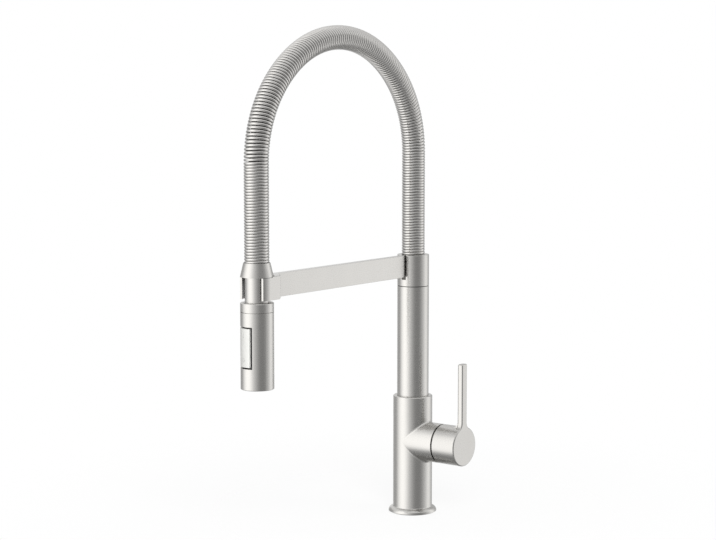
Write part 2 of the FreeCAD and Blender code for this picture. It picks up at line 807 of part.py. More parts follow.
def arch_point(start_height, distance):
    """The centre line's point and direction at a distance from its start on the column's axis."""
    rise = arch_spring_height - start_height
    if distance <= rise:
        return Vector(0, 0, start_height + distance), Vector(0, 0, 1)
    distance -= rise
    if distance <= side_arc:
        angle = distance / arch_side_radius
        centre = Vector(0, -arch_side_radius, arch_spring_height)
        radius = arch_side_radius
    elif distance <= side_arc + crown_arc:
        angle = side_arc / arch_side_radius + (distance - side_arc) / crown_radius
        centre = Vector(0, -half_span, arch_spring_height - crown_drop)
        radius = crown_radius
    elif distance <= 2 * side_arc + crown_arc:
        angle = math.pi / 2 + crown_angle + (distance - side_arc - crown_arc) / arch_side_radius
        centre = Vector(0, -reach + arch_side_radius, arch_spring_height)
        radius = arch_side_radius
    else:
        fall = distance - 2 * side_arc - crown_arc
        return Vector(0, -reach, arch_spring_height - fall), Vector(0, 0, -1)
    out = Vector(0, math.cos(angle), math.sin(angle))
    return centre + out * radius, Vector(0, -math.sin(angle), math.cos(angle))


def make_hose():
    """The hose inside the spring, from the swivel bush over the arch to the collar."""
    start = bush_top
    end = collar_floor_top + body_gap
    rise = arch_spring_height - start
    stops = [0, rise, rise + side_arc, rise + side_arc + crown_arc, rise + arch_length]
    points = [arch_point(start, stop)[0] for stop in stops]
    middles = [arch_point(start, (a + b) / 2)[0] for a, b in zip(stops[1:], stops[2:])]
    edges = [line(points[0], points[1])]
    for a, middle, b in zip(points[1:], middles, points[2:]):
        edges.append(arc(a, middle, b))
    edges.append(line(points[-1], Vector(0, -reach, end)))
    path = Part.Wire(edges)
    outer = Part.Wire(Part.Circle(Vector(0, 0, start), UP, hose_radius).toShape())
    inner = Part.Wire(Part.Circle(Vector(0, 0, start), UP, hose_bore_radius).toShape())
    hose = path.makePipeShell([outer], True, False).cut(path.makePipeShell([inner], True, False))
    section = math.pi * (hose_radius ** 2 - hose_bore_radius ** 2)
    print("hose volume", round(hose.Volume), "section times length", round(section * path.Length))
    return hose


def biarc(p0, t0, p1, t1):
    """Two tangent arcs between two points with given directions, as point triples."""
    chord = p1 - p0
    both = t0 + t1
    spread = 2 * (1 - t0.dot(t1))
    along = chord.dot(both)
    if spread < 1e-9:
        reach_out = chord.dot(chord) / (2 * along)
    else:
        reach_out = (-along + math.sqrt(along ** 2 + spread * chord.dot(chord))) / spread
    first = p0 + t0 * reach_out
    second = p1 - t1 * reach_out
    joint = (first + second) * 0.5
    return [(p0, arc_middle(p0, first, joint), joint), (joint, arc_middle(joint, second, p1), p1)]


def arc_middle(a, corner, b):
    """The middle of the arc that leaves a and reaches b along the two lines through corner."""
    centre = (a + b) * 0.5
    half_chord = (b - a).Length / 2
    height = (corner - centre).Length
    turn = math.atan2(height, half_chord)
    return centre + (corner - centre) * (half_chord * math.tan(turn / 2) / height)


def spring_line():
    """The wire's centre line as arcs: an upright tail, the curls along the arch and another tail."""
    coil_radius = spring_radius - spring_wire / 2
    start_height = sleeve_top + spring_wire / 4
    end_height = collar_top + spring_wire / 4
    length = 2 * arch_spring_height - start_height - end_height + arch_length
    steps = 2 * spring_curls

    def curl_point(turn):
        centre, direction = arch_point(start_height, length * turn / spring_curls)
        angle = 2 * math.pi * turn
        side = direction.cross(ALONG_X)
        return centre + (ALONG_X * math.cos(angle) + side * math.sin(angle)) * coil_radius

    def curl_direction(turn):
        step = 1e-4
        return (curl_point(turn + step) - curl_point(turn - step)).normalize()

    turns = [step * spring_curls / steps for step in range(steps + 1)]
    stations = [(curl_point(turn), curl_direction(turn)) for turn in turns]
    head = tail_stations(stations[0], Vector(0, 0, 0), -1, bush_top)
    foot = tail_stations(stations[-1], Vector(0, -reach, 0), 1, collar_floor_top)
    return head[::-1] + stations + foot


def tail_stations(station, axis, way, seat):
    """Where the wire leaves the last curl, steepens on the coil's cylinder and stands on its seat."""
    point, direction = station
    coil_radius = math.hypot(point.x - axis.x, point.y - axis.y)
    start_angle = math.atan2(point.y - axis.y, point.x - axis.x)
    travel = direction * way
    turn_sign = 1 if (point - axis).cross(travel).z > 0 else -1
    slope = math.asin(max(-1, min(1, -travel.z)))
    stations = []
    for share in (1 / 3, 2 / 3, 1):
        heading = slope + (math.pi / 2 - slope) * share
        run = spring_tail_bend * (math.sin(heading) - math.sin(slope))
        fall = spring_tail_bend * (math.cos(slope) - math.cos(heading))
        angle = start_angle + turn_sign * run / coil_radius
        place = Vector(axis.x + coil_radius * math.cos(angle), axis.y + coil_radius * math.sin(angle),
                       point.z - fall)
        flat = Vector(-math.sin(angle), math.cos(angle), 0) * turn_sign
        heading_line = flat * math.cos(heading) - UP * math.sin(heading)
        stations.append((place, heading_line * way))
    last = stations[-1][0]
    stations.append((Vector(last.x, last.y, seat), stations[-1][1]))
    return stations


def least_gap(samples, wire, skip):
    """The smallest distance between stretches of the wire more than skip apart along it, less the wire."""
    least = None
    for index, (start, point) in enumerate(samples):
        for distance, other in samples[index + 1:]:
            if distance - start > 4 * skip:
                break
            if distance - start > skip:
                gap = (other - point).Length - wire
                least = gap if least is None else min(least, gap)
    return least


def make_spring():
    """The spring over the hose: one wire wound in curls along the arch, its tails in their seats."""
    stations = spring_line()
    edges = []
    samples = []
    travelled = 0.0
    tightest = None
    for (p0, t0), (p1, t1) in zip(stations, stations[1:]):
        straight = t0.cross(t1).Length < 1e-6 and t0.cross(p1 - p0).Length < 1e-6
        if straight:
            edges.append(line(p0, p1))
            continue
        for a, middle, b in biarc(p0, t0, p1, t1):
            edge = arc(a, middle, b)
            edges.append(edge)
            for share, point in enumerate(edge.discretize(5)[:-1]):
                samples.append((travelled + edge.Length * share / 4, point))
            travelled += edge.Length
            radius = edge.Curve.Radius
            tightest = radius if tightest is None else min(tightest, radius)
    path = Part.Wire(edges)
    start, direction = stations[0]
    section = Part.Wire(Part.Circle(start, direction, spring_wire / 2).toShape())
    spring = path.makePipeShell([section], True, False)
    area = math.pi * spring_wire ** 2 / 4
    print("spring curls", spring_curls, "wire", spring_wire, "tightest bend", round(tightest, 2))
    half_turn = math.pi * (spring_radius - spring_wire / 2)
    print("spring least gap to itself", round(least_gap(samples, spring_wire, half_turn), 2))
    print("spring volume", round(spring.Volume), "section times length", round(area * path.Length))
    return spring


# Hose end

def make_hose_nipple():
    """The brass tail that joins the hose to the swivel bush."""
    bottom = spigot_top + running_fit
    return ring(hose_tail_radius, hose_tail_radius - nipple_wall, bottom, bush_top + nipple_length)


def make_spring_collar():
    """The conical collar that closes the spring's lower end and rests on the clip."""
    cone = Part.makeCone(collar_bottom_radius, collar_top_radius, collar_height,
                         Vector(0, -reach, collar_bottom), UP)
    bore = rod(spring_hole_radius, collar_floor_top, collar_top + 1, y=-reach)
    hole = rod(connector_spigot_radius + slip_fit, collar_bottom - 1, collar_top, y=-reach)
    return cone.cut([bore, hole])


def make_hose_connector():
    """The turned neck between hose and spray head, with a hose tail above and a swivel spigot below."""
    neck = rod(connector_radius, neck_foot, collar_bottom, y=-reach)
    upper = rod(connector_spigot_radius, collar_bottom, collar_floor_top, y=-reach)
    tail = rod(hose_tail_radius, collar_floor_top, collar_floor_top + nipple_length, y=-reach)
    spigot = rod(connector_spigot_radius, connector_foot, neck_foot, y=-reach)
    connector = neck.fuse([upper, tail, spigot]).removeSplitter()
    groove = ring(connector_spigot_radius + 1, connector_spigot_radius - swivel_groove_depth,
                  swivel_clip_bottom - slip_fit, swivel_clip_top + slip_fit, y=-reach)
    water = rod(hose_tail_radius - nipple_wall, connector_foot - 1, collar_top + nipple_length, y=-reach)
    valve_seat = rod(connector_bore_radius, connector_foot - 1, neck_foot + check_valve_length, y=-reach)
    return connector.cut([groove, water, valve_seat])


def make_swivel_clip():
    """The snap ring that keeps the spray head on the connector's spigot."""
    inner = connector_spigot_radius - swivel_groove_depth + slip_fit
    clip = ring(swivel_clip_radius, inner, swivel_clip_bottom, swivel_clip_top, y=-reach)
    opening = block(-inner / 2, inner / 2, -reach, -reach + swivel_clip_radius + 1,
                    swivel_clip_bottom - 1, swivel_clip_top + 1)
    return clip.cut(opening)


def make_check_valve():
    """The non-return valve in the connector's bore."""
    radius = connector_bore_radius - slip_fit
    top = neck_foot + check_valve_length
    valve = rod(radius, neck_foot, top, y=-reach)
    way = ring(radius - check_valve_wall, radius / 2, neck_foot - 1, top - check_valve_roof, y=-reach)
    return valve.cut(way)


# Spray head, built facing -Y on its own axis and then turned and moved to the arm's end

def on_head(shape):
    """Turns a head piece to the way the button faces and moves it to the spray axis."""
    turned_shape = shape.copy()
    turned_shape.rotate(Vector(0, 0, 0), UP, head_turn)
    turned_shape.translate(Vector(0, -reach, 0))
    return turned_shape


def sector(outer, inner, half_angle, z0, z1):
    """A piece of an upright tube, centred on -Y."""
    wedge = Part.makeCylinder(outer, z1 - z0, Vector(0, 0, z0), UP, 2 * half_angle)
    wedge.rotate(Vector(0, 0, 0), UP, -90 - half_angle)
    return wedge.cut(rod(inner, z0 - 1, z1 + 1))


def make_spray_cap():
    """The upper ring of the head: the shoulder, a bore on the connector and a skirt into the shell."""
    cap = rod(head_radius, cap_bottom, head_top)
    cap = cap.makeFillet(cap_edge_round, circles_at(cap, head_top, head_radius))
    cap = cap.fuse(rod(core_radius, skirt_bottom, cap_bottom)).removeSplitter()
    bore = rod(connector_spigot_radius + running_fit, skirt_bottom - 1, head_top + 1)
    cavity = rod(swivel_clip_radius + body_gap, skirt_bottom - 1, head_top - cap_roof)
    return on_head(cap.cut([bore, cavity]))


def make_spray_shell():
    """The tube of the head with the window for the button."""
    shell = rod(head_radius, head_bottom, shell_top)
    shell = shell.makeFillet(head_bottom_round, circles_at(shell, head_bottom, head_radius))
    shell = shell.cut(rod(head_radius - head_wall, head_bottom - 1, shell_top + 1))
    window = sector(head_radius + 1, head_radius - head_wall - 1, window_half_angle,
                    window_bottom, window_top)
    return on_head(shell.cut(window))


def make_spray_core():
    """The plastic core with the button's pocket, the spool's bore and the water way."""
    core = rod(core_radius, face_top, core_top)
    pocket = sector(core_radius + 1, button_pocket_radius, window_half_angle, window_bottom, window_top)
    half_width = lug_half_width + lug_side_gap
    half_height = lug_half_height + 2 * lug_side_gap + finger_radius
    lug_pocket = block(-half_width, half_width, -core_radius, -lug_end + lug_side_gap,
                       button_middle - half_height, button_middle + half_height)
    finger_half = finger_radius + lug_side_gap
    finger_slot = block(-finger_half, finger_half, -lug_end - 1, -spool_offset,
                        button_middle - 2 * finger_half, button_middle + 2 * finger_half)
    spool_bore = rod(spool_radius + running_fit, spool_bottom - spool_end_gap, core_top + 1, y=-spool_offset)
    water = rod(water_way_radius, face_top - 1, core_top + 1, y=water_way_offset)
    aerator_seat = rod(aerator_radius + slip_fit, face_top - 1, face_bottom + aerator_length)
    pin_hole = button_axle(slip_fit)
    return on_head(core.cut([pocket, lug_pocket, finger_slot, spool_bore, water, aerator_seat, pin_hole]))


def nozzle_places():
    """Two circles of nozzles round the aerator."""
    places = []
    circles = ((outer_nozzle_circle, outer_nozzle_count), (inner_nozzle_circle, inner_nozzle_count))
    for radius, count in circles:
        for index in range(count):
            angle = 2 * math.pi * index / count
            places.append((radius * math.cos(angle), radius * math.sin(angle)))
    return places


def make_spray_face():
    """The spray plate in the head's mouth, with holes for the nozzles and the aerator."""
    plate = rod(core_radius, face_bottom, face_top)
    holes = [rod(nozzle_radius, face_bottom - 1, face_top + 1, x, y) for x, y in nozzle_places()]
    holes.append(rod(aerator_radius + slip_fit, face_bottom - 1, face_top + 1))
    return on_head(plate.cut(holes))


def make_nozzles():
    """The soft rubber nozzles of the spray plate."""
    nozzles = []
    for x, y in nozzle_places():
        stem = rod(nozzle_radius, face_bottom, face_top, x, y)
        tip = Part.makeCone(nozzle_tip_radius, nozzle_radius, nozzle_stand,
                            Vector(x, y, face_bottom - nozzle_stand), UP)
        bore = rod(nozzle_tip_radius / 2, face_bottom - nozzle_stand - 1, face_top + 1, x, y)
        nozzles.append(on_head(stem.fuse(tip).removeSplitter().cut(bore)))
    return Part.makeCompound(nozzles)


def make_aerator():
    """The aerator in the middle of the spray plate."""
    body = rod(aerator_radius, face_bottom, face_bottom + aerator_length)
    mouth = rod(aerator_radius - aerator_rim, face_bottom - 1, face_bottom + aerator_mouth_depth)
    return on_head(body.cut(mouth))


def button_axle(extra):
    half = button_pin_length / 2 + extra
    return rod_x(button_pin_radius, -half, half, -button_pivot_depth, button_middle)


def make_button_pin():
    """The steel pin that the button rocks on."""
    return on_head(button_axle(0))


def make_button():
    """The rocker button: a curved plate with a lug on the pin and a finger that drives the spool."""
    plate_inside = head_radius - button_thickness
    plate = sector(head_radius, plate_inside, button_half_angle, button_bottom, button_top)
    lug_root = head_radius - button_thickness / 2
    lug = block(-lug_half_width, lug_half_width, -lug_root, -lug_end,
                button_middle - lug_half_height, button_middle + lug_half_height)
    finger = Part.makeCylinder(finger_radius, button_pivot_depth - finger_end,
                               Vector(0, -button_pivot_depth, button_middle), ALONG_Y)
    button = plate.fuse([lug, finger]).removeSplitter()
    hole = rod_x(button_pin_radius + running_fit, -2 * lug_half_width, 2 * lug_half_width,
                 -button_pivot_depth, button_middle)
    return on_head(button.cut(hole))


def make_diverter_spool():
    """The valve spool that the button's finger shifts between jet and spray."""
    spool = rod(spool_radius, spool_bottom, spool_bottom + spool_length, y=-spool_offset)
    half = finger_radius + spool_groove_gap
    groove = ring(spool_radius + 1, spool_groove_radius, button_middle - half, button_middle + half,
                  y=-spool_offset)
    return on_head(spool.cut(groove))


def write_parts():
    pieces = {
        "base_ring": make_base_ring,
        "base_gasket": make_base_gasket,
        "mixer_body": make_mixer_body,
        "cartridge_housing": make_cartridge_housing,
        "port_seals": make_port_seals,
        "fixed_disc": make_fixed_disc,
        "moving_disc": make_moving_disc,
        "temperature_carrier": make_temperature_carrier,
        "pivot_pin": make_pivot_pin,
        "cartridge_nut": make_cartridge_nut,
        "spindle": make_spindle,
        "handle_cap": make_handle_cap,
        "grub_screw": make_grub_screw,
        "grub_plug": make_grub_plug,
        "column": make_column,
        "riser_tube": make_riser_tube,
        "swivel_spigot": make_swivel_spigot,
        "swivel_o_rings": make_swivel_o_rings,
        "glide_washer": make_glide_washer,
        "swivel_bush": make_swivel_bush,
        "clamp_nut": make_clamp_nut,
        "sleeve": make_sleeve,
        "arm": make_arm,
        "dock_pins": make_dock_pins,
        "dock_clip": make_dock_clip,
        "dock_liner": make_dock_liner,
        "hose_nipple": make_hose_nipple,
        "hose": make_hose,
        "spring": make_spring,
        "spring_collar": make_spring_collar,
        "hose_connector": make_hose_connector,
        "swivel_clip": make_swivel_clip,
        "check_valve": make_check_valve,
        "spray_cap": make_spray_cap,
        "spray_shell": make_spray_shell,
        "spray_core": make_spray_core,
        "spray_face": make_spray_face,
        "nozzles": make_nozzles,
        "aerator": make_aerator,
        "button_pin": make_button_pin,
        "button": make_button,
        "diverter_spool": make_diverter_spool,
    }
    os.makedirs("parts", exist_ok=True)
    for name, make in pieces.items():
        make().exportStep("parts/" + name + ".step")


write_parts()
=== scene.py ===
import math
import bpy
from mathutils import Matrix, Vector


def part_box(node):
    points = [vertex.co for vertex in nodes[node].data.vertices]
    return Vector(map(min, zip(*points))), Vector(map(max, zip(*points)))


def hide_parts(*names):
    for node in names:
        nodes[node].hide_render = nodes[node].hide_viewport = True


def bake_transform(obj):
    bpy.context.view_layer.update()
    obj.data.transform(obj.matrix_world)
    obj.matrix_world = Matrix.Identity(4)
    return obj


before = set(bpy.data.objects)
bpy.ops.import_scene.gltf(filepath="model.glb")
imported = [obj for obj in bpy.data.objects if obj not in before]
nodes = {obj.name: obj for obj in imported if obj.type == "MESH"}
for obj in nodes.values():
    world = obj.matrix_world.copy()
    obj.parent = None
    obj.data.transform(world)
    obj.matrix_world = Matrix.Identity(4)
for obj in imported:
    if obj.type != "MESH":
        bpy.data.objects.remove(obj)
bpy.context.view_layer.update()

# Driving values, with sizes in metres, and what follows from the frame

spring_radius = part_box("spring")[1].x
spring_wire = 0.00298
spring_wire_depth = 0.0020
spring_pitch = 0.00302
wire_sides = 10
steps_per_turn = 32
arch_straight = 0.1135
arch_side_inset = 0.0135
arch_crown_angle = math.radians(51.4)
hose_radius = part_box("hose")[1].x
hose_sides = 48
hose_step = 0.004
collar_floor = 0.002
seat_gap = 0.0003
skin_unevenness = 0.05
mark_bearing = math.radians(13.5)
mark_offset = 0.0125
mark_ring_radius = 0.0017
mark_dot_radius = 0.0004
mark_dot_edge_radius = 0.00052
mark_ring_dots = 6

sleeve_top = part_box("sleeve")[1].z
bush_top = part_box("swivel_bush")[1].z
collar_floor_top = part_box("spring_collar")[0].z + collar_floor
reach = -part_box("spring")[0].y - spring_radius
half_span = reach / 2
arch_height = sleeve_top + arch_straight
side_radius = half_span - arch_side_inset
crown_drop = arch_side_inset / math.tan(arch_crown_angle)
crown_radius = side_radius + arch_side_inset / math.sin(arch_crown_angle)
side_angle = math.pi / 2 - arch_crown_angle

# Camera, as the photograph was taken

camera_place = Vector((1.3241, -1.8014, 0.5266))
camera_azimuth = math.radians(37.897)
camera_dip = math.radians(6.448)
sensor_width = 36.0
focal_length = 101.19

# Studio: levels as a share of the white background, sizes in metres

background_level = 1.0
ambient_level = 0.55
floor_glow = 0.86
floor_radius = 0.55
floor_core_radius = 0.055
disc_sides = 96
softbox_colour = (1.0, 0.985, 0.96, 1)
softbox_distance = 2.2
flag_distance = 2.0
card_columns = 24
card_flat_height = 0.6
floor_flag_depth = 1.0
floor_flag_radius = 2.0
floor_flag_core_radius = 0.8
floor_flag_level = -0.70


# Node helpers

def start_material(name):
    """A material with its node tree and its principled shader."""
    material = bpy.data.materials.new(name)
    material.use_nodes = True
    tree = material.node_tree
    shader = tree.nodes["Principled BSDF"]
    return material, tree, shader


def add_node(tree, kind, **inputs):
    """A node with some of its inputs set; an underscore stands for a space in an input's name."""
    node = tree.nodes.new(kind)
    for name, value in inputs.items():
        node.inputs[name.replace("_", " ")].default_value = value
    return node


def combine(tree, operation, first, second=None):
    """A sum, product or the like of one value with another value or with a number."""
    node = tree.nodes.new("ShaderNodeMath")
    node.operation = operation
    tree.links.new(first, node.inputs[0])
    if isinstance(second, float):
        node.inputs[1].default_value = second
    elif second is not None:
        tree.links.new(second, node.inputs[1])
    return node.outputs["Value"]


def object_place(tree, stretch=(1, 1, 1)):
    """The point on the piece in its own frame, in metres, stretched along each axis."""
    source = tree.nodes.new("ShaderNodeTexCoord")
    mapping = add_node(tree, "ShaderNodeMapping", Scale=stretch)
    tree.links.new(source.outputs["Object"], mapping.inputs["Vector"])
    return mapping.outputs["Vector"]


def noise(tree, place, scale, detail=2.0):
    """A noise value between about 0 and 1 at a place."""
    node = add_node(tree, "ShaderNodeTexNoise", Scale=scale, Detail=detail)
    tree.links.new(place, node.inputs["Vector"])
    return node.outputs["Fac"]


def spread(tree, value, low, high):
    """A value of noise spread between two levels."""
    node = add_node(tree, "ShaderNodeMapRange", From_Min=0.25, From_Max=0.75, To_Min=low, To_Max=high)
    tree.links.new(value, node.inputs["Value"])
    return node.outputs["Result"]


def two_tones(tree, value, dark, light):
    """A colour between two tones."""
    node = tree.nodes.new("ShaderNodeValToRGB")
    node.color_ramp.elements[0].position = 0.25
    node.color_ramp.elements[0].color = (*dark, 1)
    node.color_ramp.elements[1].position = 0.75
    node.color_ramp.elements[1].color = (*light, 1)
    tree.links.new(value, node.inputs["Fac"])
    return node.outputs["Color"]


def bump(tree, shader, height, depth):
    """Relief of a depth in metres on the shader's normal."""
    node = add_node(tree, "ShaderNodeBump", Strength=1.0, Distance=depth)
    tree.links.new(height, node.inputs["Height"])
    tree.links.new(node.outputs["Normal"], shader.inputs["Normal"])


def dress(tree, shader, pattern, tones, roughness, relief):
    """One pattern sets the shader's colour, its roughness and the depth of its relief."""
    tree.links.new(two_tones(tree, pattern, *tones), shader.inputs["Base Color"])
    tree.links.new(spread(tree, pattern, *roughness), shader.inputs["Roughness"])
    bump(tree, shader, pattern, relief)


# Materials

def painted_end_shade(tree, end_shade_tone):
    """Painted shade: a level that goes from 1 round the sides to the end tone where the surface faces along
    X, so the end faces are darkened.
    """
    source = tree.nodes.new("ShaderNodeTexCoord")
    split = tree.nodes.new("ShaderNodeSeparateXYZ")
    tree.links.new(source.outputs["Normal"], split.inputs["Vector"])
    level = add_node(tree, "ShaderNodeMapRange", From_Min=0.6, From_Max=0.95, To_Min=1.0, To_Max=end_shade_tone)
    tree.links.new(split.outputs["X"], level.inputs["Value"])
    return level.outputs["Result"]


def satin_steel(name, stretch, tone=1.0, end_shade_tone=1.0):
    """Brushed stainless steel; the brush lines run where the stretch is small. Faces along X get a painted
    shade down to the end tone.
    """
    material, tree, shader = start_material(name)
    shader.inputs["Metallic"].default_value = 1.0
    fine = noise(tree, object_place(tree, stretch), scale=1.0, detail=3.0)
    cloud = noise(tree, object_place(tree), scale=45.0)
    dark = Vector((0.545, 0.536, 0.518)) * tone
    light = Vector((0.575, 0.566, 0.548)) * tone
    toned = add_node(tree, "ShaderNodeMixRGB", Fac=1.0)
    toned.blend_type = "MULTIPLY"
    tree.links.new(two_tones(tree, fine, dark, light), toned.inputs["Color1"])
    tree.links.new(painted_end_shade(tree, end_shade_tone), toned.inputs["Color2"])
    tree.links.new(toned.outputs["Color"], shader.inputs["Base Color"])
    brushed = spread(tree, fine, low=0.23, high=0.28)
    handled = spread(tree, cloud, low=0.0, high=0.03)
    tree.links.new(combine(tree, "ADD", brushed, handled), shader.inputs["Roughness"])
    bump(tree, shader, fine, depth=0.0000005)
    return material


def spring_steel():
    """Drawn stainless wire with faint die marks."""
    material, tree, shader = start_material("spring_wire_steel")
    shader.inputs["Metallic"].default_value = 1.0
    marks = noise(tree, object_place(tree), scale=900.0, detail=3.0)
    tones = (0.526, 0.517, 0.503), (0.573, 0.564, 0.55)
    dress(tree, shader, marks, tones, roughness=(0.13, 0.20), relief=0.000001)
    return material


def turned_brass():
    """Machined brass with tool marks."""
    material, tree, shader = start_material("turned_brass")
    shader.inputs["Metallic"].default_value = 1.0
    marks = noise(tree, object_place(tree, stretch=(60, 60, 2500)), scale=1.0)
    tones = (0.60, 0.42, 0.17), (0.72, 0.52, 0.24)
    dress(tree, shader, marks, tones, roughness=(0.22, 0.36), relief=0.000006)
    return material


def moulded_plastic(name, dark, light, roughness):
    """Moulded plastic with a spark-eroded skin."""
    material, tree, shader = start_material(name)
    skin = noise(tree, object_place(tree), scale=2600.0)
    cloud = noise(tree, object_place(tree), scale=120.0)
    tree.links.new(two_tones(tree, cloud, dark, light), shader.inputs["Base Color"])
    tree.links.new(spread(tree, skin, low=roughness - skin_unevenness, high=roughness + skin_unevenness),
                   shader.inputs["Roughness"])
    bump(tree, shader, skin, depth=0.000008)
    return material


def mark_places():
    """The middles of the button's dots: a short row near its top and a small ring near its bottom."""
    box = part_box("button")
    head_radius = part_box("spray_shell")[1].x
    across = Vector((math.cos(mark_bearing), -math.sin(mark_bearing), 0))
    up = Vector((0, 0, 1))
    middle = Vector((-head_radius * math.sin(mark_bearing), -reach - head_radius * math.cos(mark_bearing),
                     (box[0].z + box[1].z) / 2))
    places = [middle + up * (mark_offset + step * mark_ring_radius) for step in (-1, 0, 1)]
    for dot in range(mark_ring_dots):
        angle = 2 * math.pi * dot / mark_ring_dots
        spot = across * math.cos(angle) + up * math.sin(angle)
        places.append(middle - up * mark_offset + spot * mark_ring_radius)
    return places


def marked_plastic(name, dark, light, mark, roughness):
    """Moulded plastic with small printed dots."""
    material = moulded_plastic(name, dark, light, roughness)
    tree = material.node_tree
    colour = tree.nodes["Principled BSDF"].inputs["Base Color"]
    plain = colour.links[0].from_socket
    here = tree.nodes.new("ShaderNodeTexCoord").outputs["Object"]
    nearest = None
    for place in mark_places():
        away = tree.nodes.new("ShaderNodeVectorMath")
        away.operation = "DISTANCE"
        away.inputs[1].default_value = place
        tree.links.new(here, away.inputs[0])
        distance = away.outputs["Value"]
        nearest = distance if nearest is None else combine(tree, "MINIMUM", nearest, distance)
    inside = add_node(tree, "ShaderNodeMapRange", From_Min=mark_dot_radius, From_Max=mark_dot_edge_radius,
                      To_Min=1.0, To_Max=0.0)
    tree.links.new(nearest, inside.inputs["Value"])
    printed = add_node(tree, "ShaderNodeMixRGB", Color2=(*mark, 1))
    tree.links.new(inside.outputs["Result"], printed.inputs["Fac"])
    tree.links.new(plain, printed.inputs["Color1"])
    tree.links.new(printed.outputs["Color"], colour)
    return material


def soft_rubber():
    """Dull black rubber, faintly dusty."""
    material, tree, shader = start_material("soft_rubber")
    dust = noise(tree, object_place(tree), scale=400.0, detail=4.0)
    tones = (0.018, 0.018, 0.019), (0.034, 0.034, 0.035)
    dress(tree, shader, dust, tones, roughness=(0.55, 0.75), relief=0.00001)
    return material


def braided_hose():
    """Grey textile braid: two sets of strands that cross, along the hose and round it."""
    material, tree, shader = start_material("braided_hose")
    source = tree.nodes.new("ShaderNodeTexCoord")
    waves = []
    for slant in (1.0, -1.0):
        mapping = add_node(tree, "ShaderNodeMapping", Rotation=(0, 0, slant * math.radians(45)))
        tree.links.new(source.outputs["UV"], mapping.inputs["Vector"])
        wave = add_node(tree, "ShaderNodeTexWave", Scale=7.0, Distortion=0.4)
        tree.links.new(mapping.outputs["Vector"], wave.inputs["Vector"])
        waves.append(wave.outputs["Fac"])
    strands = combine(tree, "MULTIPLY", waves[0], waves[1])
    tones = (0.10, 0.10, 0.10), (0.22, 0.22, 0.22)
    dress(tree, shader, strands, tones, roughness=(0.75, 0.55), relief=0.0002)
    return material


def white_ceramic():
    """Ground alumina."""
    material, tree, shader = start_material("white_ceramic")
    grains = noise(tree, object_place(tree), scale=3000.0)
    tones = (0.74, 0.73, 0.70), (0.82, 0.81, 0.78)
    dress(tree, shader, grains, tones, roughness=(0.18, 0.30), relief=0.000004)
    return material


steel_turned_z = satin_steel("satin_steel_turned", stretch=(55, 55, 3200))
# The handle's end faces get a painted shade: their colour is darkened by the way they face.
steel_turned_x = satin_steel("satin_steel_handle", stretch=(3200, 55, 55), tone=0.95, end_shade_tone=0.92)
steel_brushed_y = satin_steel("satin_steel_bar", stretch=(2400, 40, 2400), tone=0.965)
brass = turned_brass()
wire_steel = spring_steel()
black = moulded_plastic("black_plastic", (0.016, 0.016, 0.017), (0.026, 0.026, 0.027), roughness=0.42)
dark_grey = moulded_plastic("dark_grey_plastic", (0.070, 0.070, 0.071), (0.090, 0.090, 0.091),
                            roughness=0.42)
grey = moulded_plastic("grey_plastic", (0.33, 0.33, 0.33), (0.37, 0.37, 0.37), roughness=0.40)
button_white = marked_plastic("button_plastic", (0.80, 0.80, 0.77), (0.85, 0.85, 0.82),
                              mark=(0.42, 0.42, 0.40), roughness=0.32)
rubber = soft_rubber()
hose_braid = braided_hose()
ceramic = white_ceramic()

node_materials = {
    steel_turned_z: "base_ring mixer_body column sleeve swivel_bush dock_clip spring_collar "
                    "hose_connector spray_cap spray_shell",
    steel_turned_x: "handle_cap",
    steel_brushed_y: "arm",
    wire_steel: "spring pivot_pin button_pin dock_pins grub_screw swivel_clip cartridge_nut",
    brass: "swivel_spigot clamp_nut hose_nipple spindle riser_tube",
    black: "glide_washer temperature_carrier cartridge_housing grub_plug check_valve diverter_spool",
    dark_grey: "spray_core",
    grey: "spray_face aerator dock_liner",
    button_white: "button",
    rubber: "base_gasket port_seals swivel_o_rings nozzles hose",
    ceramic: "fixed_disc moving_disc",
}


def paint_nodes():
    """Each CAD node gets its material."""
    for material, names in node_materials.items():
        for name in names.split():
            slots = nodes[name].data.materials
            slots.clear()
            slots.append(material)


# Spring and hose along the arch

def bend_lengths(inside):
    """The lengths of a side bend and of the crown along a line that lies so far inside the arch."""
    return (side_radius - inside) * side_angle, 2 * (crown_radius - inside) * arch_crown_angle


def arch_length(start_height, end_height, inside=0.0):
    """The way over the arch from a height on the column's leg to a height on the spray's leg."""
    side, crown = bend_lengths(inside)
    return 2 * arch_height - start_height - end_height + 2 * side + crown


def arch_point(start_height, distance, inside=0.0):
    """The arch's centre line: its point and its direction where a line inside it has gone a distance."""
    side, crown = bend_lengths(inside)
    rise = arch_height - start_height
    if distance <= rise:
        return Vector((0, 0, start_height + distance)), Vector((0, 0, 1))
    distance -= rise
    if distance <= side:
        angle = distance / (side_radius - inside)
        centre = Vector((0, -side_radius, arch_height))
        radius = side_radius
    elif distance <= side + crown:
        angle = side_angle + (distance - side) / (crown_radius - inside)
        centre = Vector((0, -half_span, arch_height - crown_drop))
        radius = crown_radius
    elif distance <= 2 * side + crown:
        angle = math.pi / 2 + arch_crown_angle + (distance - side - crown) / (side_radius - inside)
        centre = Vector((0, side_radius - reach, arch_height))
        radius = side_radius
    else:
        fall = distance - 2 * side - crown
        return Vector((0, -reach, arch_height - fall)), Vector((0, 0, -1))
    out = Vector((0, math.cos(angle), math.sin(angle)))
    return centre + out * radius, Vector((0, -math.sin(angle), math.cos(angle)))


def new_mesh(name, points, faces, material):
    """A smooth mesh object from points and faces."""
    mesh = bpy.data.meshes.new(name)
    mesh.from_pydata(points, [], faces)
    mesh.materials.append(material)
    for face in mesh.polygons:
        face.use_smooth = True
    obj = bpy.data.objects.new(name, mesh)
    bpy.context.scene.collection.objects.link(obj)
    return obj


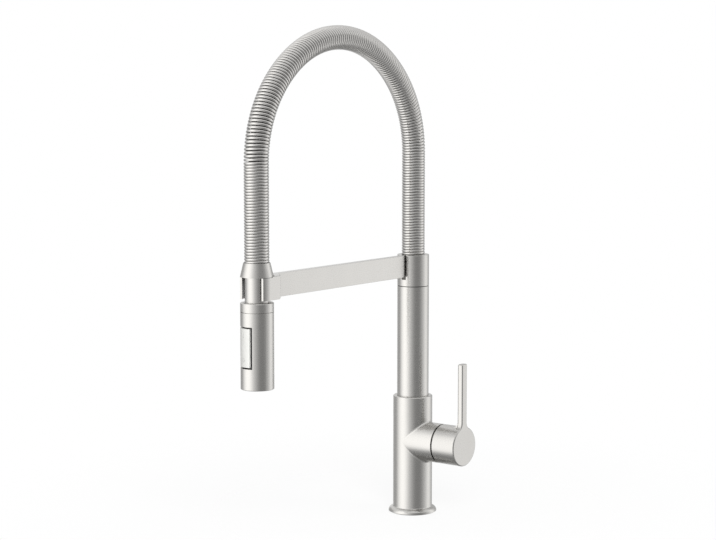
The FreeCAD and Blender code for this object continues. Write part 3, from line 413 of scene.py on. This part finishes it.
def tube_faces(rings, sides):
    """Quads between the rings of a tube, with a cap on each end."""
    faces = []
    for ring in range(rings - 1):
        for side in range(sides):
            after = (side + 1) % sides
            faces.append((ring * sides + side, ring * sides + after,
                          (ring + 1) * sides + after, (ring + 1) * sides + side))
    faces.append(tuple(reversed(range(sides))))
    faces.append(tuple((rings - 1) * sides + side for side in range(sides)))
    return faces


def make_spring():
    """The wound oval wire, from its seat in the sleeve to its seat in the collar, close inside the bend."""
    coil_radius = spring_radius - spring_wire_depth / 2
    start = bush_top + spring_wire / 2 + seat_gap
    end = collar_floor_top + spring_wire / 2 + seat_gap
    length = arch_length(start, end, coil_radius)
    turns = round(length / spring_pitch)
    steps = turns * steps_per_turn
    across = Vector((1, 0, 0))

    def wire_point(step):
        centre, direction = arch_point(start, length * step / steps, coil_radius)
        angle = 2 * math.pi * step / steps_per_turn
        return centre + (across * math.cos(angle) + direction.cross(across) * math.sin(angle)) * coil_radius

    points = []
    for step in range(steps + 1):
        here = wire_point(step)
        along = (wire_point(min(step + 1, steps)) - wire_point(max(step - 1, 0))).normalized()
        out = (here - arch_point(start, length * step / steps, coil_radius)[0]).normalized()
        side = along.cross(out).normalized()
        out = side.cross(along)
        for corner in range(wire_sides):
            angle = 2 * math.pi * corner / wire_sides
            points.append(here + out * math.cos(angle) * spring_wire_depth / 2
                          + side * math.sin(angle) * spring_wire / 2)
    spring = new_mesh("spring_wire", points, tube_faces(steps + 1, wire_sides), wire_steel)
    bend_with_hose_end(spring)
    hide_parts("spring")


def make_hose():
    """The braided hose inside the spring."""
    start = bush_top
    end = collar_floor_top + seat_gap
    length = arch_length(start, end)
    rings = round(length / hose_step) + 1
    across = Vector((1, 0, 0))
    points = []
    for ring in range(rings):
        centre, direction = arch_point(start, length * ring / (rings - 1))
        up = direction.cross(across)
        for side in range(hose_sides):
            angle = 2 * math.pi * side / hose_sides
            points.append(centre + (across * math.cos(angle) + up * math.sin(angle)) * hose_radius)
    hose = new_mesh("braided_hose", points, tube_faces(rings, hose_sides), hose_braid)
    layer = hose.data.uv_layers.new(name="round_and_along")
    scale = 2 * math.pi * hose_radius
    for face in hose.data.polygons:
        first_side = min(hose.data.loops[i].vertex_index % hose_sides for i in face.loop_indices)
        for i in face.loop_indices:
            ring, side = divmod(hose.data.loops[i].vertex_index, hose_sides)
            wraps = first_side == 0 and side == hose_sides - 1
            layer.data[i].uv = ((side - (hose_sides if wraps else 0)) / hose_sides,
                                ring * length / (rings - 1) / scale)
    bend_with_hose_end(hose)
    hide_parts("hose")


def bend_with_hose_end(piece):
    """Bakes the piece's transform into its mesh; the arch is not bent here."""
    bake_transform(piece)


# Stage: floor, cards, lamps, world and camera

def only_for_reflections(card):
    """The card shows in glossy surfaces and nowhere else."""
    card.visible_camera = False
    card.visible_diffuse = False
    card.visible_transmission = False
    card.visible_shadow = False


def card_bump(tree, flat_share):
    """A soft-edged level across the card: 1 in its middle, 0 at its edges."""
    source = tree.nodes.new("ShaderNodeTexCoord")
    split = tree.nodes.new("ShaderNodeSeparateXYZ")
    tree.links.new(source.outputs["UV"], split.inputs["Vector"])
    levels = []
    for axis, share in (("X", flat_share), ("Y", card_flat_height)):
        from_middle = combine(tree, "SUBTRACT", split.outputs[axis], 0.5)
        fade = add_node(tree, "ShaderNodeMapRange", From_Min=0.5 * share, From_Max=0.5,
                        To_Min=1.0, To_Max=0.0)
        fade.interpolation_type = "SMOOTHSTEP"
        tree.links.new(combine(tree, "ABSOLUTE", from_middle), fade.inputs["Value"])
        levels.append(fade.outputs["Result"])
    return combine(tree, "MULTIPLY", levels[0], levels[1])


def card_material(name, level, flat_share):
    """A level above 0 adds light to what is behind the card, one below 0 holds that share of it back."""
    material, tree, shader = start_material(name)
    tree.nodes.remove(shader)
    output = tree.nodes["Material Output"]
    strength = combine(tree, "MULTIPLY", card_bump(tree, flat_share), level)
    clear = tree.nodes.new("ShaderNodeBsdfTransparent")
    if level < 0:
        tree.links.new(combine(tree, "ADD", strength, 1.0), clear.inputs["Color"])
        tree.links.new(clear.outputs["BSDF"], output.inputs["Surface"])
        return material
    glow = add_node(tree, "ShaderNodeEmission", Color=softbox_colour)
    tree.links.new(strength, glow.inputs["Strength"])
    joined = tree.nodes.new("ShaderNodeAddShader")
    tree.links.new(clear.outputs["BSDF"], joined.inputs[0])
    tree.links.new(glow.outputs["Emission"], joined.inputs[1])
    tree.links.new(joined.outputs["Shader"], output.inputs["Surface"])
    return material


def make_card(name, middle, half_width, bottom, top, level, flat_share):
    """A curved card round the object; its angles are in degrees from the camera, right of it above 0."""
    distance = flag_distance if level < 0 else softbox_distance
    points = []
    for column in range(card_columns + 1):
        angle = middle - half_width + 2 * half_width * column / card_columns
        turn = camera_azimuth - math.pi / 2 + math.radians(angle)
        for height in (bottom, top):
            points.append((distance * math.cos(turn), distance * math.sin(turn), height))
    faces = [(2 * i, 2 * i + 2, 2 * i + 3, 2 * i + 1) for i in range(card_columns)]
    card = new_mesh(name, points, faces, card_material(name, level, flat_share))
    layer = card.data.uv_layers.new(name="across_and_up")
    for loop in card.data.loops:
        column, row = divmod(loop.vertex_index, 2)
        layer.data[loop.index].uv = (column / card_columns, row)
    only_for_reflections(card)


def fade_outwards(tree, inner_radius, outer_radius):
    """A level that rises from 0 to 1 between two distances from the piece's own middle."""
    source = tree.nodes.new("ShaderNodeTexCoord")
    outwards = tree.nodes.new("ShaderNodeVectorMath")
    outwards.operation = "LENGTH"
    tree.links.new(source.outputs["Object"], outwards.inputs[0])
    fade = add_node(tree, "ShaderNodeMapRange", From_Min=inner_radius, From_Max=outer_radius)
    fade.interpolation_type = "SMOOTHSTEP"
    tree.links.new(outwards.outputs["Value"], fade.inputs["Value"])
    return fade.outputs["Result"]


def make_disc(name, radius, height, material):
    """A flat round disc on the faucet's axis."""
    corners = []
    for side in range(disc_sides):
        angle = 2 * math.pi * side / disc_sides
        corners.append((radius * math.cos(angle), radius * math.sin(angle), 0))
    disc = new_mesh(name, corners, [tuple(range(disc_sides))], material)
    disc.location = (0, 0, height)
    return disc


def make_floor_flag():
    """A dark disc under the object, seen only in its steel, that fades outwards."""
    material, tree, shader = start_material("floor_flag")
    tree.nodes.remove(shader)
    outwards = fade_outwards(tree, floor_flag_core_radius, floor_flag_radius)
    left = add_node(tree, "ShaderNodeMapRange", To_Min=1 + floor_flag_level, To_Max=1.0)
    tree.links.new(outwards, left.inputs["Value"])
    clear = tree.nodes.new("ShaderNodeBsdfTransparent")
    tree.links.new(left.outputs["Result"], clear.inputs["Color"])
    tree.links.new(clear.outputs["BSDF"], tree.nodes["Material Output"].inputs["Surface"])
    only_for_reflections(make_disc("floor_flag", floor_flag_radius, -floor_flag_depth, material))


def make_cards():
    """Softboxes and flags round the object, seen only in its steel."""
    make_card("key_softbox", middle=-62, half_width=45, bottom=-1.6, top=3.4, level=0.84, flat_share=0.1)
    make_card("side_softbox", middle=106, half_width=24, bottom=-2.4, top=2.2, level=0.38, flat_share=0.1)
    make_card("front_flag", middle=29, half_width=66, bottom=-1.8, top=1.8, level=-0.69, flat_share=0.15)
    make_card("rear_flag", middle=-130, half_width=36, bottom=-1.6, top=1.0, level=-0.48, flat_share=0.4)
    make_card("side_rear_flag", middle=155, half_width=35, bottom=-1.6, top=2.4, level=-0.4, flat_share=0.3)
    make_floor_flag()


def make_floor():
    """A pale round floor that glows white to the camera, takes the object's shadow and fades outwards."""
    material, tree, shader = start_material("pale_floor")
    shader.inputs["Base Color"].default_value = (0.9, 0.9, 0.9, 1)
    shader.inputs["Roughness"].default_value = 0.9
    rays = tree.nodes.new("ShaderNodeLightPath")
    glow = add_node(tree, "ShaderNodeEmission", Color=(1, 1, 1, 1), Strength=background_level)
    seen = combine(tree, "MAXIMUM", rays.outputs["Is Camera Ray"], rays.outputs["Is Transmission Ray"])
    lit = tree.nodes.new("ShaderNodeMixShader")
    tree.links.new(combine(tree, "MULTIPLY", seen, floor_glow), lit.inputs["Fac"])
    tree.links.new(shader.outputs["BSDF"], lit.inputs[1])
    tree.links.new(glow.outputs["Emission"], lit.inputs[2])
    clear = tree.nodes.new("ShaderNodeBsdfTransparent")
    mix = tree.nodes.new("ShaderNodeMixShader")
    tree.links.new(fade_outwards(tree, floor_core_radius, floor_radius), mix.inputs["Fac"])
    tree.links.new(lit.outputs["Shader"], mix.inputs[1])
    tree.links.new(clear.outputs["BSDF"], mix.inputs[2])
    tree.links.new(mix.outputs["Shader"], tree.nodes["Material Output"].inputs["Surface"])
    floor = make_disc("floor", floor_radius, 0, material)
    floor.visible_glossy = False


def make_world():
    """White to the camera and in the steel, and a soft ambient light elsewhere."""
    world = bpy.data.worlds.new("studio")
    world.use_nodes = True
    tree = world.node_tree
    background = tree.nodes["Background"]
    background.inputs["Color"].default_value = (1, 1, 1, 1)
    rays = tree.nodes.new("ShaderNodeLightPath")
    seen = rays.outputs["Is Camera Ray"]
    for kind in ("Is Glossy Ray", "Is Transmission Ray"):
        seen = combine(tree, "MAXIMUM", seen, rays.outputs[kind])
    level = add_node(tree, "ShaderNodeMapRange", To_Min=ambient_level, To_Max=background_level)
    tree.links.new(seen, level.inputs["Value"])
    tree.links.new(level.outputs["Result"], background.inputs["Strength"])
    bpy.context.scene.world = world


def make_lamp(name, azimuth, height, distance, size, power):
    """A soft area lamp aimed at the middle of the faucet; its azimuth is in degrees from the camera."""
    turn = camera_azimuth - math.pi / 2 + math.radians(azimuth)
    target = Vector((0, -half_span, arch_height / 2))
    data = bpy.data.lights.new(name, "AREA")
    data.shape = "DISK"
    data.size = size
    data.energy = power
    lamp = bpy.data.objects.new(name, data)
    bpy.context.scene.collection.objects.link(lamp)
    lamp.location = (distance * math.cos(turn), distance * math.sin(turn), height)
    lamp.rotation_euler = (target - lamp.location).to_track_quat("-Z", "Y").to_euler()
    lamp.visible_glossy = False
    lamp.visible_camera = False


def make_camera():
    """The camera at the photograph's place."""
    data = bpy.data.cameras.new("camera")
    data.sensor_fit = "HORIZONTAL"
    data.sensor_width = sensor_width
    data.lens = focal_length
    camera = bpy.data.objects.new("camera", data)
    bpy.context.scene.collection.objects.link(camera)
    forward = Vector((-math.sin(camera_azimuth) * math.cos(camera_dip),
                      math.cos(camera_azimuth) * math.cos(camera_dip), -math.sin(camera_dip)))
    camera.location = camera_place
    camera.rotation_euler = forward.to_track_quat("-Z", "Y").to_euler()
    bpy.context.scene.camera = camera


paint_nodes()
make_spring()
make_hose()
make_cards()
make_floor()
make_world()
make_lamp("key_lamp", azimuth=5, height=1.6, distance=2.4, size=1.4, power=60)
make_lamp("fill_lamp", azimuth=70, height=1.2, distance=2.6, size=1.4, power=18)
make_camera()
bpy.context.scene.view_settings.view_transform = "Standard"
